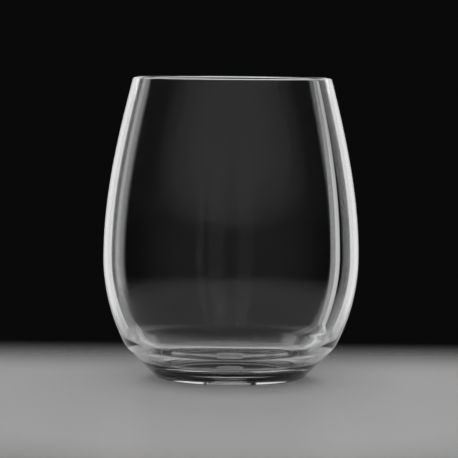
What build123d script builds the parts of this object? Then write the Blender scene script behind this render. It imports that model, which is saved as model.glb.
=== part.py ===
"""Stemless wine glass: one piece of clear glass, round about its upright axis.

Millimetres, +Z up. The origin is the middle of the ring that the glass stands on.
"""
import os
from math import cos, radians, sin, tan

from build123d import *

# Outside
height = 110.0  # table to the top of the lip
rim_diameter = 73.2  # outside, where the round of the lip starts
rim_lean = 14.5  # inward lean of the wall at the rim, degrees from upright
belly_diameter = 94.2  # the widest part
belly_height = 44.0
base_diameter = 55.4  # where the heel meets the table
heel_flare = 45.0  # degrees from upright
knee_height = 11.2  # where the flared heel turns into the bowl
knee_round = 8.0
edge_round = 0.8  # the edge at the table

# Wall and inside
rim_wall = 1.5
belly_wall = 1.6
floor_height = 4.0  # table to the inside floor
floor_round = 12.0  # where the floor turns up into the inside heel
inside_flare = 45.0  # slope of the inside heel, degrees from upright
inside_knee_rise = 1.6  # how far the inside knee lies above the outside one
inside_knee_round = 20.0

# Underside
hollow_diameter = 45.0  # inner edge of the standing ring
hollow_depth = 0.8
hollow_edge_round = 1.5
mark_diameter = 10.4  # round moulding mark in the middle of the hollow
mark_depth = 0.4

# Points of the half section: distance from the axis, then height
belly = Vector(belly_diameter / 2, belly_height)
heel = Vector(base_diameter / 2, 0)
knee = heel + Vector(knee_height * tan(radians(heel_flare)), knee_height)
ring_edge = Vector(hollow_diameter / 2, 0)
hollow_top = Vector(0, hollow_depth)

inside_belly = belly - Vector(belly_wall, 0)
inside_knee = knee + Vector(-belly_wall, inside_knee_rise)
floor_drop = inside_knee.Y - floor_height
floor_edge = inside_knee - Vector(floor_drop * tan(radians(inside_flare)), floor_drop)
floor_middle = Vector(0, floor_height)

# The lip is a half circle across the leaning wall
lean = radians(rim_lean)
along_wall = Vector(-sin(lean), cos(lean))
across_wall = Vector(cos(lean), sin(lean))
lip_radius = rim_wall / 2
lip_centre = Vector(rim_diameter / 2 - lip_radius * cos(lean), height - lip_radius)
lip_outside = lip_centre + across_wall * lip_radius
lip_inside = lip_centre - across_wall * lip_radius
lip_end = lip_centre + along_wall * lip_radius

# Both curves from belly to lip leave upright and arrive at the lean of the rim
outside_pull = (lip_outside.Y - belly.Y) / 3
inside_pull = (lip_inside.Y - inside_belly.Y) / 3
upright = Vector(0, 1)

with BuildPart() as glass_body:
    with BuildSketch(Plane.XZ) as half_section:
        with BuildLine():
            TangentArc(hollow_top, ring_edge, tangent=(1, 0))
            Line(ring_edge, heel)
            Line(heel, knee)
            TangentArc(belly, knee, tangent=-upright)
            Bezier(belly, belly + upright * outside_pull, lip_outside - along_wall * outside_pull, lip_outside)
            ThreePointArc(lip_outside, lip_end, lip_inside)
            Bezier(
                lip_inside,
                lip_inside - along_wall * inside_pull,
                inside_belly + upright * inside_pull,
                inside_belly,
            )
            TangentArc(inside_belly, inside_knee, tangent=-upright)
            Line(inside_knee, floor_edge)
            Line(floor_edge, floor_middle)
            Line(floor_middle, hollow_top)
        make_face()
        for corner, radius in (
            (ring_edge, hollow_edge_round),
            (heel, edge_round),
            (knee, knee_round),
            (inside_knee, inside_knee_round),
            (floor_edge, floor_round),
        ):
            fillet(half_section.vertices().sort_by_distance(corner)[0], radius)
    revolve(axis=Axis.Z)
    with BuildSketch(Plane.XY):
        Circle(mark_diameter / 2)
    extrude(amount=hollow_depth + mark_depth, mode=Mode.SUBTRACT)

glass_body.part.label = "glass_body"

os.makedirs("parts", exist_ok=True)
export_step(glass_body.part, "parts/glass_body.step")
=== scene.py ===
"""A clear stemless wine glass and a plain stage for it, laid out as an add-on.

Metres, +Z up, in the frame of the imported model. The glass is turned from its half section.
"""
from math import atan2, cos, pi, radians, sin, sqrt, tan, tau

import bmesh
import bpy
from bpy.props import FloatProperty, FloatVectorProperty, IntProperty, PointerProperty
from bpy.types import Operator, Panel, PropertyGroup
from mathutils import Matrix, Vector


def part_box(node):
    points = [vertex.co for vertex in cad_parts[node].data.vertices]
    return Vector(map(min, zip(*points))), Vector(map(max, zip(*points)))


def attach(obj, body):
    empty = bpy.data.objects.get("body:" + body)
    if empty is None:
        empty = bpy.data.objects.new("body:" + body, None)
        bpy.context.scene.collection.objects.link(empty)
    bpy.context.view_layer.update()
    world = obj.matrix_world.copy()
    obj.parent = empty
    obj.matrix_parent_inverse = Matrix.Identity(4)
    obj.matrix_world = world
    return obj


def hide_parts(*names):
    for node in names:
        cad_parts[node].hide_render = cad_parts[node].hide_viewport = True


bl_info = {
    "name": "Stemless Wine Glass",
    "version": (1, 0, 0),
    "blender": (4, 5, 0),
    "location": "View3D > Sidebar > Glass",
    "description": "Turns a clear stemless wine glass and sets a plain stage for it",
    "category": "Add Mesh",
}

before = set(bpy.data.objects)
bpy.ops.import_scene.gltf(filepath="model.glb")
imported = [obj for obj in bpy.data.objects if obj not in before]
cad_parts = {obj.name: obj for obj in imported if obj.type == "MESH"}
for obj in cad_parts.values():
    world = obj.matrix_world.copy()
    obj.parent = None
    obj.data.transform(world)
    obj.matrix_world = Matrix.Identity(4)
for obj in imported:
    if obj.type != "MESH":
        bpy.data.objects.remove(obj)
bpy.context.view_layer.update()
glass_low, glass_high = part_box("glass_body")
mm = 0.001
UP = pi / 2
INWARDS = pi
BOWL_SIDE = 43.7 * mm  # where the strips of light along the edges are seen
MARK_LIMIT = 2.0 * mm  # above the moulding mark, below the floor inside


def length(name, description, default):
    """A size in metres."""
    return FloatProperty(name=name, description=description, default=default, min=0.0, unit="LENGTH")


def angle(name, description, default):
    """An angle, given in degrees and kept in radians."""
    return FloatProperty(name=name, description=description, default=radians(default), subtype="ANGLE")


def shade(name, description, default):
    """A colour without alpha, in linear light."""
    return FloatVectorProperty(
        name=name, description=description, default=default, subtype="COLOR", min=0.0, max=1.0
    )


def amount(name, description, default):
    """A plain number that isn't below nought."""
    return FloatProperty(name=name, description=description, default=default, min=0.0)


class GlassSizes(PropertyGroup):
    """Sizes of the glass."""

    height: length("Height", "Table to the top of the lip", glass_high.z - glass_low.z)
    rim_diameter: length("Rim", "Outside diameter where the round of the lip starts", 73.2 * mm)
    rim_lean: angle("Rim lean", "Inward lean of the wall at the rim, from upright", 14.5)
    rim_wall: length("Rim wall", "Wall at the lip", 1.5 * mm)
    belly_diameter: length("Belly", "Diameter of the widest part", glass_high.x - glass_low.x)
    belly_height: length("Belly height", "Table to the widest part", 44.0 * mm)
    belly_wall: length("Belly wall", "Wall at the widest part", 1.6 * mm)
    base_diameter: length("Base", "Diameter where the heel meets the table", 55.4 * mm)
    edge_round: length("Edge round", "Round of the edge at the table", 0.8 * mm)
    heel_flare: angle("Heel flare", "Slope of the heel, from upright", 45.0)
    knee_height: length("Knee height", "Table to where the heel turns into the bowl", 11.2 * mm)
    knee_round: length("Knee round", "Round between heel and bowl", 8.0 * mm)
    floor_height: length("Floor", "Table to the inside floor", 4.0 * mm)
    floor_round: length("Floor round", "Round between the floor and the inside heel", 12.0 * mm)
    inside_flare: angle("Inside flare", "Slope of the inside heel, from upright", 45.0)
    inside_knee_rise: length("Inside knee rise", "Inside knee above the outside one", 1.6 * mm)
    inside_knee_round: length("Inside knee round", "Round between inside heel and bowl", 20.0 * mm)
    hollow_diameter: length("Hollow", "Inner diameter of the standing ring", 45.0 * mm)
    hollow_depth: length("Hollow depth", "Rise of the underside in the middle", 0.8 * mm)
    hollow_edge_round: length("Hollow edge round", "Round between hollow and standing ring", 1.5 * mm)
    mark_diameter: length("Mark", "Diameter of the round moulding mark", 10.4 * mm)
    mark_depth: length("Mark depth", "Depth of the moulding mark in the hollow", 0.4 * mm)
    sides: IntProperty(name="Sides", description="Faces round the glass", default=192, min=16, max=256)
    steps: IntProperty(
        name="Steps", description="Faces along each stretch of the section", default=20, min=4, max=40
    )


class GlassFinish(PropertyGroup):
    """Look of the glass."""

    tint: shade("Tint", "Colour of light that has passed through the glass", (0.985, 0.99, 0.988))
    index: FloatProperty(name="Index", description="Index of refraction", default=1.5, min=1.0, max=2.0)
    ripple: length("Ripple", "Height of the faint flow lines in the surface", 0.007 * mm)
    polish: amount("Polish", "Roughness of the fire-polished surface", 0.0)
    smudge: amount("Smudge", "Roughness where it was handled", 0.02)
    matte: amount("Matte", "Roughness of the moulding mark", 0.5)
    scuff: amount("Scuff", "Roughness of the worn standing ring", 0.12)


class StageLook(PropertyGroup):
    """Floor, backdrop, light and camera."""

    floor: shade("Floor", "Colour of the pale floor", (0.35, 0.35, 0.35))
    floor_rough: amount("Floor roughness", "Roughness of the floor", 0.4)
    backdrop: amount("Backdrop", "Level behind the glass", 0.003)
    near_side: amount("Near side", "Level on the viewer's side", 0.06)
    fill: amount("Fill", "Strength of the soft light from all round", 0.95)
    # The floor's pool is a painted pool of light: the floor fades into the dark backdrop away from the
    # glass and behind it, in place of light falling off
    light_pool_shift: length("Pool shift", "Middle of the floor in front of the glass", 0.06)
    light_pool_inner: length("Pool inner", "Radius to which the floor keeps its full colour", 0.09)
    light_pool_outer: length("Pool outer", "Radius at which the floor has faded into the backdrop", 0.24)
    back_edge: length("Back edge", "Where the floor has faded into the backdrop behind the glass", 0.1)
    dark_left: angle("Dark left", "Bearing where the backdrop turns pale on the left", 12.0)
    dark_right: angle("Dark right", "Bearing where the backdrop turns pale on the right", 12.0)
    rear_far: angle("Rear far", "Bearing where the pale part of the backdrop ends", 43.0)
    rear_glow: amount("Rear glow", "Level of the pale backdrop", 0.8)
    side_near: angle("Side near", "Bearing where the white wall on the left starts", 52.0)
    side_far: angle("Side far", "Bearing where the white wall on the left ends", 67.0)
    side_glow: amount("Side glow", "Level of the white wall", 1.1)
    foot_near: angle("Foot near", "How far below level the dark part of the backdrop ends", 24.0)
    foot_far: angle("Foot far", "How far below level the pale foot under it ends", 64.0)
    foot_side: angle("Foot side", "Bearing to which the pale foot reaches on both sides", 14.0)
    foot_glow: amount("Foot glow", "Level of the pale foot", 1.0)
    strip_near: angle("Strip near", "Bearing where the dim edge of the narrow panel starts", 4.7)
    strip_edge: angle("Strip edge", "Bearing where its full brightness starts", 5.6)
    strip_far: angle("Strip far", "Bearing where it ends", 6.6)
    strip_glow: amount("Strip glow", "Brightness of the narrow panel", 0.55)
    top_glow: amount("Top glow", "Brightness of the low panel above and behind", 1.2)
    camera_distance: length("Camera distance", "Camera to the axis of the glass, level", 0.87)
    camera_height: length("Camera height", "Camera above the table", 0.121)
    aim_height: length("Aim height", "Height that the camera looks at", 54.2 * mm)
    aim_side: FloatProperty(
        name="Aim side", description="Aim to the right", default=-0.8 * mm, unit="LENGTH"
    )
    roll: angle("Roll", "Turn of the picture", 0.5)
    lens: FloatProperty(
        name="Lens", description="Focal length on a 36 mm wide sensor", default=186.0, unit="CAMERA"
    )


def add_node(tree, kind, inputs=None, **settings):
    """Adds a node, sets its properties, and fills its inputs with values or links."""
    node = tree.nodes.new(kind)
    for name, value in settings.items():
        setattr(node, name, value)
    for socket, value in (inputs or {}).items():
        if isinstance(value, bpy.types.NodeSocket):
            tree.links.new(value, node.inputs[socket])
        else:
            node.inputs[socket].default_value = value
    return node


def output(tree, kind, inputs=None, socket=0, **settings):
    """One output of a new node."""
    return add_node(tree, kind, inputs, **settings).outputs[socket]


def maths(tree, operation, *values):
    """The output of a Math node."""
    return output(tree, "ShaderNodeMath", dict(enumerate(values)), operation=operation)


def ramp(tree, value, low, high, out_low=0.0, out_high=1.0):
    """The output of a smooth step of value from low to high."""
    inputs = {"Value": value, "From Min": low, "From Max": high, "To Min": out_low, "To Max": out_high}
    return output(tree, "ShaderNodeMapRange", inputs, interpolation_type="SMOOTHSTEP")


def toward(heading):
    """One step in the plane of the section: 0 is outwards, a quarter turn is up."""
    return Vector((cos(heading), sin(heading)))


def rounded_corner(corner, arriving, leaving, radius):
    """Both ends of a round between two straight stretches, with their headings."""
    reach = radius * tan(abs(leaving - arriving) / 2)
    return [(corner - reach * toward(arriving), arriving), (corner + reach * toward(leaving), leaving)]


def rounded_knee(knee, flare, belly, radius):
    """Both ends of a round between a flared heel and the arc that rises from its knee to the belly."""
    across, rise = belly - knee
    arc_radius = (across**2 + rise**2) / (2 * across)
    arc_centre = belly - Vector((arc_radius, 0))
    heading = UP - flare
    heel = toward(heading)
    offset = knee + radius * toward(heading + UP) - arc_centre
    gap = offset.dot(heel)
    reach = sqrt(gap**2 - offset.length_squared + (arc_radius - radius) ** 2) - gap
    spoke = (offset + reach * heel).normalized()
    arc_heading = atan2(spoke.y, spoke.x) + UP
    return [(knee + reach * heel, heading), (arc_centre + arc_radius * spoke, arc_heading)]


def underside(size):
    """Stations from the middle of the underside to the edge at the table."""
    hollow_radius = size.hollow_diameter / 2
    dome_radius = (hollow_radius**2 + size.hollow_depth**2) / (2 * size.hollow_depth)
    mark_radius = size.mark_diameter / 2
    mark_top = size.hollow_depth + size.mark_depth
    mark_round = size.mark_depth / 2
    mark_foot = mark_radius + mark_round

    def dome(radius):
        drop = dome_radius - sqrt(dome_radius**2 - radius**2)
        return Vector((radius, size.hollow_depth - drop)), -atan2(radius, dome_radius - drop)

    slope = dome(hollow_radius)[1]
    reach = size.hollow_edge_round * tan(-slope / 2)
    heel = Vector((size.base_diameter / 2, 0))
    return [
        (Vector((0, mark_top)), 0),
        (Vector((mark_radius - mark_round, mark_top)), 0),
        (Vector((mark_radius, mark_top - mark_round)), -UP),
        dome(mark_foot),
        dome(hollow_radius - reach),
        (Vector((hollow_radius + reach, 0)), 0),
        *rounded_corner(heel, 0, UP - size.heel_flare, size.edge_round),
    ]


def half_section(size):
    """Stations along the half section, each a point and a heading: up the outside, down the inside."""
    heel = Vector((size.base_diameter / 2, 0))
    belly = Vector((size.belly_diameter / 2, size.belly_height))
    knee = heel + size.knee_height * Vector((tan(size.heel_flare), 1))
    inside_belly = belly - Vector((size.belly_wall, 0))
    inside_knee = knee + Vector((-size.belly_wall, size.inside_knee_rise))
    floor_drop = inside_knee.y - size.floor_height
    floor_edge = inside_knee - floor_drop * Vector((tan(size.inside_flare), 1))

    along_wall = UP + size.rim_lean
    lip_radius = size.rim_wall / 2
    lip_across = size.rim_diameter / 2 - lip_radius * cos(size.rim_lean)
    lip_middle = Vector((lip_across, size.height - lip_radius))
    lip = [
        (lip_middle + lip_radius * toward(along_wall + turn), along_wall + UP + turn)
        for turn in (-UP, 0, UP)
    ]
    inside = rounded_corner(floor_edge, 0, UP - size.inside_flare, size.floor_round)
    inside += rounded_knee(inside_knee, size.inside_flare, inside_belly, size.inside_knee_round)
    inside.append((inside_belly, UP))
    inside.insert(0, (Vector((0, size.floor_height)), 0))
    downwards = [(point, heading + INWARDS) for point, heading in reversed(inside)]
    return [
        *underside(size),
        *rounded_knee(knee, size.heel_flare, belly, size.knee_round),
        (belly, UP),
        *lip,
        *downwards,
    ]


def handle_length(start, end):
    """How far the handles of a stretch reach, so that it is an arc where its headings allow one."""
    chord = (end[0] - start[0]).length
    turn = abs((end[1] - start[1] + pi) % tau - pi)
    if turn < radians(0.01):
        return chord / 3
    return chord * 2 / 3 * tan(turn / 4) / sin(turn / 2)


def section_curve(size):
    """The half section as an open curve in the XZ plane."""
    stations = half_section(size)
    curve = bpy.data.curves.new("glass_section", "CURVE")
    curve.dimensions = "3D"
    spline = curve.splines.new("BEZIER")
    spline.resolution_u = size.steps
    spline.bezier_points.add(len(stations) - 1)
    for number, (point, heading) in enumerate(stations):
        before = stations[max(number - 1, 0)]
        after = stations[min(number + 1, len(stations) - 1)]
        knot = spline.bezier_points[number]
        knot.handle_left_type = knot.handle_right_type = "FREE"
        left = point - handle_length(before, stations[number]) * toward(heading)
        right = point + handle_length(stations[number], after) * toward(heading)
        knot.co = (point.x, 0, point.y)
        knot.handle_left = (left.x, 0, left.y)
        knot.handle_right = (right.x, 0, right.y)
    return curve


def turning_tree():
    """Geometry nodes that turn a section in the XZ plane about the Z axis into a closed smooth mesh."""
    tree = bpy.data.node_groups.new("Turn Section", "GeometryNodeTree")
    tree.interface.new_socket("Section", in_out="INPUT", socket_type="NodeSocketGeometry")
    sides_socket = tree.interface.new_socket("Sides", in_out="INPUT", socket_type="NodeSocketInt")
    finish_socket = tree.interface.new_socket("Finish", in_out="INPUT", socket_type="NodeSocketMaterial")
    tree.interface.new_socket("Turned", in_out="OUTPUT", socket_type="NodeSocketGeometry")
    given = tree.nodes.new("NodeGroupInput").outputs
    columns = maths(tree, "ADD", given["Sides"], 1.0)

    # One row of the grid for each point of the section, one column for each side
    points = output(tree, "GeometryNodeCurveToPoints", {"Curve": given["Section"]}, mode="EVALUATED")
    rows = output(tree, "GeometryNodeAttributeDomainSize", {"Geometry": points}, component="POINTCLOUD")
    grid = output(tree, "GeometryNodeMeshGrid", {"Vertices X": rows, "Vertices Y": columns})
    index = tree.nodes.new("GeometryNodeInputIndex").outputs[0]
    row = maths(tree, "FLOOR", maths(tree, "DIVIDE", maths(tree, "ADD", index, 0.5), columns))
    column = maths(tree, "SUBTRACT", index, maths(tree, "MULTIPLY", row, columns))

    # Each grid point takes its radius and height from the section and its turn from its column
    place = tree.nodes.new("GeometryNodeInputPosition").outputs[0]
    sample_inputs = {"Geometry": points, "Value": place, "Index": row}
    sample = output(tree, "GeometryNodeSampleIndex", sample_inputs, "Value", data_type="FLOAT_VECTOR")
    section = add_node(tree, "ShaderNodeSeparateXYZ", {0: sample}).outputs
    turn = maths(tree, "MULTIPLY", maths(tree, "DIVIDE", column, given["Sides"]), tau)
    x = maths(tree, "MULTIPLY", section["X"], maths(tree, "COSINE", turn))
    y = maths(tree, "MULTIPLY", section["X"], maths(tree, "SINE", turn))
    turned_place = output(tree, "ShaderNodeCombineXYZ", {"X": x, "Y": y, "Z": section["Z"]})
    turned = output(tree, "GeometryNodeSetPosition", {"Geometry": grid, "Position": turned_place})
    closed = output(tree, "GeometryNodeMergeByDistance", {"Geometry": turned, "Distance": 0.001 * mm})
    smooth = output(tree, "GeometryNodeSetShadeSmooth", {"Geometry": closed})
    real = output(tree, "GeometryNodeRealizeInstances", {"Geometry": smooth})
    done = output(tree, "GeometryNodeSetMaterial", {"Geometry": real, "Material": given["Finish"]})
    add_node(tree, "NodeGroupOutput", {"Turned": done})
    return tree, sides_socket.identifier, finish_socket.identifier


def clear_glass(finish, size):
    """Clear glass with faint flow lines, handled patches, a matt edge to the mark and a scuffed ring."""
    material = bpy.data.materials.new("clear_glass")
    material.use_nodes = True
    tree = material.node_tree
    shader = tree.nodes["Principled BSDF"]
    shader.inputs["Base Color"].default_value = (*finish.tint, 1.0)
    shader.inputs["Transmission Weight"].default_value = 1.0
    shader.inputs["IOR"].default_value = finish.index

    place = tree.nodes.new("ShaderNodeTexCoord").outputs["Object"]
    axes = add_node(tree, "ShaderNodeSeparateXYZ", {0: place}).outputs
    flat = output(tree, "ShaderNodeCombineXYZ", {"X": axes["X"], "Y": axes["Y"]})
    radius = output(tree, "ShaderNodeVectorMath", {0: flat}, "Value", operation="LENGTH")

    # Flow lines run round the glass, longer than they are tall
    stretched = output(tree, "ShaderNodeMapping", {"Vector": place, "Scale": (18.0, 18.0, 60.0)})
    flow = output(tree, "ShaderNodeTexNoise", {"Vector": stretched, "Scale": 1.0, "Detail": 2.0})
    bump = add_node(tree, "ShaderNodeBump", {"Height": flow, "Strength": 1.0, "Distance": finish.ripple})
    tree.links.new(bump.outputs[0], shader.inputs["Normal"])

    # Roughness: handled patches, the edge of the moulding mark, the ring that rubs on tables
    patches = output(tree, "ShaderNodeTexNoise", {"Vector": place, "Scale": 45.0, "Detail": 4.0})
    handled = ramp(tree, patches, 0.45, 0.8, finish.polish, finish.smudge)
    mark_edge = size.mark_diameter / 2
    in_mark = ramp(tree, radius, mark_edge, mark_edge + 0.3 * mm, 1.0, 0.0)
    low_down = ramp(tree, axes["Z"], MARK_LIMIT, MARK_LIMIT + 0.2 * mm, 1.0, 0.0)
    mark = maths(tree, "MULTIPLY", maths(tree, "MULTIPLY", in_mark, low_down), finish.matte)
    grains = output(tree, "ShaderNodeTexNoise", {"Vector": place, "Scale": 900.0, "Detail": 3.0})
    on_table = ramp(tree, axes["Z"], 0.05 * mm, 0.25 * mm, 1.0, 0.0)
    scuffs = maths(tree, "MULTIPLY", on_table, ramp(tree, grains, 0.4, 0.6))
    worn = maths(tree, "MULTIPLY", scuffs, finish.scuff)
    rough = maths(tree, "MAXIMUM", maths(tree, "MAXIMUM", handled, mark), worn)
    tree.links.new(rough, shader.inputs["Roughness"])
    return material


def frosted_mark(finish):
    """The rough white skin of the moulding mark."""
    material = bpy.data.materials.new("frosted_mark")
    material.use_nodes = True
    tree = material.node_tree
    shader = tree.nodes["Principled BSDF"]
    shader.inputs["Transmission Weight"].default_value = 0.1
    shader.inputs["Roughness"].default_value = finish.matte
    shader.inputs["IOR"].default_value = finish.index
    place = tree.nodes.new("ShaderNodeTexCoord").outputs["Object"]
    grains = output(tree, "ShaderNodeTexNoise", {"Vector": place, "Scale": 1500.0, "Detail": 3.0})
    level = ramp(tree, grains, 0.3, 0.7, 0.88, 0.98)
    colour = output(tree, "ShaderNodeCombineColor", {0: level, 1: level, 2: level})
    tree.links.new(colour, shader.inputs["Base Color"])
    return material


class STEMLESS_GLASS_OT_turn_body(Operator):
    """Turn the glass from its half section"""

    bl_idname = "stemless_glass.turn_body"
    bl_label = "Turn Glass"

    def execute(self, context):
        scene = context.scene
        size = scene.glass_sizes
        section = bpy.data.objects.new("glass_section", section_curve(size))
        scene.collection.objects.link(section)
        tree, sides_key, finish_key = turning_tree()
        turning = section.modifiers.new("Turn Section", "NODES")
        turning.node_group = tree
        turning[sides_key] = size.sides
        turning[finish_key] = clear_glass(scene.glass_finish, size)

        evaluated = section.evaluated_get(context.evaluated_depsgraph_get())
        mesh = bpy.data.meshes.new_from_object(evaluated)
        mesh.name = "glass"
        shell = bmesh.new()
        shell.from_mesh(mesh)
        bmesh.ops.recalc_face_normals(shell, faces=shell.faces)
        open_edges = sum(not edge.is_manifold for edge in shell.edges)
        shell.to_mesh(mesh)
        shell.free()
        if open_edges or not mesh.polygons:
            raise RuntimeError(
                f"the turned glass isn't closed: {len(mesh.polygons)} faces, {open_edges} open edges"
            )
        bpy.data.objects.remove(section)

        # The moulding mark is frosted
        mesh.materials.append(frosted_mark(scene.glass_finish))
        for face in mesh.polygons:
            if face.center.z < MARK_LIMIT and face.center.xy.length < size.mark_diameter / 2:
                face.material_index = len(mesh.materials) - 1

        glass = bpy.data.objects.new("glass", mesh)
        scene.collection.objects.link(glass)
        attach(glass, "root")
        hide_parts("glass_body")
        return {"FINISHED"}


def seen_rays(tree):
    """One for what is seen straight, mirrored or through glass, nought for light on matt surfaces."""
    path = tree.nodes.new("ShaderNodeLightPath").outputs
    mirrored = maths(tree, "MAXIMUM", path["Is Glossy Ray"], path["Is Transmission Ray"])
    shown = maths(tree, "MAXIMUM", path["Is Camera Ray"], mirrored)
    return maths(tree, "MULTIPLY", shown, maths(tree, "LESS_THAN", path["Diffuse Depth"], 0.5))


def pale_floor(look):
    """A pale satin floor that fades to clear all round, so that the backdrop takes over: a painted pool
    of light, pale near the glass and dark away from it and behind it.
    """
    material = bpy.data.materials.new("pale_floor")
    material.use_nodes = True
    tree = material.node_tree
    shader = tree.nodes["Principled BSDF"]
    shader.inputs["Roughness"].default_value = look.floor_rough
    place = tree.nodes.new("ShaderNodeTexCoord").outputs["Object"]
    grain = output(tree, "ShaderNodeTexNoise", {"Vector": place, "Scale": 400.0, "Detail": 3.0})
    level = ramp(tree, grain, 0.3, 0.7, 0.97, 1.0)
    scaled = {0: tuple(look.floor), "Scale": level}
    colour = output(tree, "ShaderNodeVectorMath", scaled, operation="SCALE")
    tree.links.new(colour, shader.inputs["Base Color"])
    # Painted pool of light: the floor fades to clear, and so into the dark backdrop, away from its middle
    # and behind the glass, standing in for light that falls off
    middle = (0, -look.light_pool_shift, 0)
    away = output(tree, "ShaderNodeVectorMath", {0: place, 1: middle}, "Value", operation="DISTANCE")
    behind = add_node(tree, "ShaderNodeSeparateXYZ", {0: place}).outputs["Y"]
    falloff_round = ramp(tree, away, look.light_pool_inner, look.light_pool_outer)
    falloff_behind = ramp(tree, behind, 0.0, look.back_edge)
    fade = maths(tree, "MAXIMUM", falloff_round, falloff_behind)
    clear = tree.nodes.new("ShaderNodeBsdfTransparent").outputs[0]
    mixed = output(tree, "ShaderNodeMixShader", {0: fade, 1: shader.outputs[0], 2: clear})
    tree.links.new(mixed, tree.nodes["Material Output"].inputs["Surface"])
    return material


def between(tree, value, low, high, soft_low, soft_high):
    """One between two limits, else nought, with soft edges."""
    above = ramp(tree, value, low - soft_low, low + soft_low)
    below = ramp(tree, value, high - soft_high, high + soft_high, 1.0, 0.0)
    return maths(tree, "MULTIPLY", above, below)


def light_world(scene, look):
    """Soft light from all round, seen as a studio: dark behind the glass, pale beside and below that."""
    world = bpy.data.worlds.new("backdrop")
    world.use_nodes = True
    tree = world.node_tree
    tree.nodes.clear()
    white = (1.0, 1.0, 1.0, 1.0)
    soft = output(tree, "ShaderNodeBackground", {"Color": white, "Strength": look.fill})
    heading = tree.nodes.new("ShaderNodeTexCoord").outputs["Generated"]
    axes = add_node(tree, "ShaderNodeSeparateXYZ", {0: heading}).outputs
    bearing = maths(tree, "ARCTAN2", axes["X"], axes["Y"])

    # The viewer's side is a little lighter than the dark part behind the glass
    viewer_end, dark_start = -0.9, 0.3
    level = ramp(tree, axes["Y"], viewer_end, dark_start, look.near_side, look.backdrop)

    # Pale parts between bearings from straight behind, on the left or right, with soft edges
    lowest, highest, end_edge = -0.65, 0.85, 0.1
    near_edge, far_edge = radians(0.5), radians(3)
    upright = between(tree, axes["Z"], lowest, highest, end_edge, end_edge)
    for side, near, far, glow in (
        (-1, look.dark_left, look.rear_far, look.rear_glow),
        (1, look.dark_right, look.rear_far, look.rear_glow),
        (-1, look.side_near, look.side_far, look.side_glow),
    ):
        beside = maths(tree, "MULTIPLY", bearing, side)
        pale = maths(tree, "MULTIPLY", between(tree, beside, near, far, near_edge, far_edge), glow)
        level = maths(tree, "MAXIMUM", level, maths(tree, "MULTIPLY", upright, pale))

    # The dark part ends at a pale foot, which the lip shows as a line of light
    foot_edge, foot_fade = 0.03, radians(8)
    beneath = between(tree, axes["Z"], -sin(look.foot_far), -sin(look.foot_near), foot_edge, foot_edge)
    aside = maths(tree, "ABSOLUTE", bearing)
    foot = ramp(tree, aside, look.foot_side, look.foot_side + foot_fade, look.foot_glow, 0.0)
    level = maths(tree, "MAXIMUM", level, maths(tree, "MULTIPLY", beneath, foot))

    grey = output(tree, "ShaderNodeCombineColor", {0: level, 1: level, 2: level})
    plain = output(tree, "ShaderNodeBackground", {"Color": grey, "Strength": 1.0})
    mixed = output(tree, "ShaderNodeMixShader", {0: seen_rays(tree), 1: soft, 2: plain})
    add_node(tree, "ShaderNodeOutputWorld", {"Surface": mixed})
    scene.world = world


def softbox(scene, name, place, target, width, tall, glow):
    """A soft panel at a place, turned to face a target."""
    lamp = bpy.data.lights.new(name, "AREA")
    lamp.shape = "RECTANGLE"
    lamp.size = width
    lamp.size_y = tall
    lamp.energy = glow * pi * width * tall
    panel = bpy.data.objects.new(name, lamp)
    turn = (target - place).to_track_quat("-Z", "Y").to_matrix().to_4x4()
    panel.matrix_world = Matrix.Translation(place) @ turn
    scene.collection.objects.link(panel)


def strip_panel(scene, name, near, far, glow):
    """A tall panel between two bearings from straight behind, as seen from the right side of the bowl."""
    distance, low, high = 0.8, -0.6, 1.4
    bearing = (near + far) / 2
    target = Vector((BOWL_SIDE, 0, (low + high) / 2))
    place = target + distance * Vector((sin(bearing), cos(bearing), 0))
    width = 2 * distance * tan((far - near) / 2)
    softbox(scene, name, place, target, width, high - low, glow)


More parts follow.
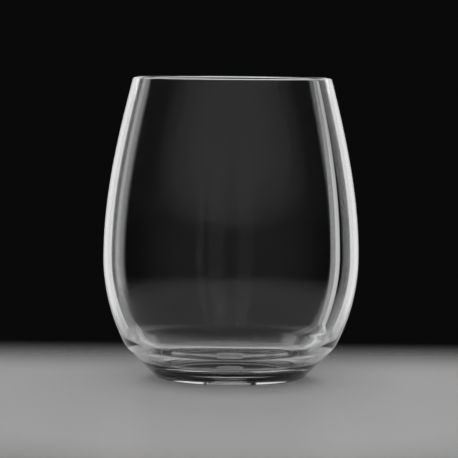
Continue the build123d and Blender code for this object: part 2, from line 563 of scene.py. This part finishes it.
class STEMLESS_GLASS_OT_set_stage(Operator):
    """Set up the floor, backdrop, lights and camera"""

    bl_idname = "stemless_glass.set_stage"
    bl_label = "Set Stage"

    def execute(self, context):
        scene = context.scene
        look = scene.glass_stage
        scene.view_settings.view_transform = "Standard"
        light_world(scene, look)

        # The floor disc ends where the painted pool of light has faded out
        disc = bmesh.new()
        shift = Matrix.Translation((0, -look.light_pool_shift, 0))
        bmesh.ops.create_circle(disc, cap_ends=True, segments=96, radius=look.light_pool_outer, matrix=shift)
        mesh = bpy.data.meshes.new("floor")
        disc.to_mesh(mesh)
        disc.free()
        mesh.materials.append(pale_floor(look))
        floor = bpy.data.objects.new("floor", mesh)
        scene.collection.objects.link(floor)

        strip_panel(scene, "strip_right", look.strip_edge, look.strip_far, look.strip_glow)
        strip_panel(scene, "strip_right_edge", look.strip_near, look.strip_edge, look.strip_glow / 3)
        above_behind = Vector((0, 0.9, 0.36))
        lip = Vector((0, 0, 0.11))
        top_width, top_tall = 1.6, 0.2
        softbox(scene, "top", above_behind, lip, top_width, top_tall, look.top_glow)

        camera = bpy.data.cameras.new("camera")
        camera.sensor_width = 36.0
        camera.lens = look.lens
        eye = Vector((look.aim_side, -look.camera_distance, look.camera_height))
        aim = Vector((look.aim_side, 0, look.aim_height))
        turn = (aim - eye).to_track_quat("-Z", "Y").to_matrix().to_4x4()
        viewer = bpy.data.objects.new("camera", camera)
        viewer.matrix_world = Matrix.Translation(eye) @ turn @ Matrix.Rotation(look.roll, 4, "Z")
        scene.collection.objects.link(viewer)
        scene.camera = viewer
        return {"FINISHED"}


class STEMLESS_GLASS_PT_panel(Panel):
    """Sizes, finish and stage of the glass, with the steps that build them"""

    bl_label = "Stemless Wine Glass"
    bl_space_type = "VIEW_3D"
    bl_region_type = "UI"
    bl_category = "Glass"

    def draw(self, context):
        scene = context.scene
        for step, group in (
            (STEMLESS_GLASS_OT_turn_body, scene.glass_sizes),
            (STEMLESS_GLASS_OT_turn_body, scene.glass_finish),
            (STEMLESS_GLASS_OT_set_stage, scene.glass_stage),
        ):
            box = self.layout.box()
            for name in group.__annotations__:
                box.prop(group, name)
            box.operator(step.bl_idname)


groups = {"glass_sizes": GlassSizes, "glass_finish": GlassFinish, "glass_stage": StageLook}
classes = (
    *groups.values(),
    STEMLESS_GLASS_OT_turn_body,
    STEMLESS_GLASS_OT_set_stage,
    STEMLESS_GLASS_PT_panel,
)


def register():
    """Adds the classes, and the groups of sizes and colours to the scene."""
    for kind in classes:
        bpy.utils.register_class(kind)
    for name, group in groups.items():
        setattr(bpy.types.Scene, name, PointerProperty(type=group))


def unregister():
    """Takes away what register added."""
    for name in groups:
        delattr(bpy.types.Scene, name)
    for kind in reversed(classes):
        bpy.utils.unregister_class(kind)


def main():
    """Builds the glass and its stage."""
    register()
    bpy.ops.stemless_glass.turn_body()
    bpy.ops.stemless_glass.set_stage()


if __name__ == "__main__":
    main()
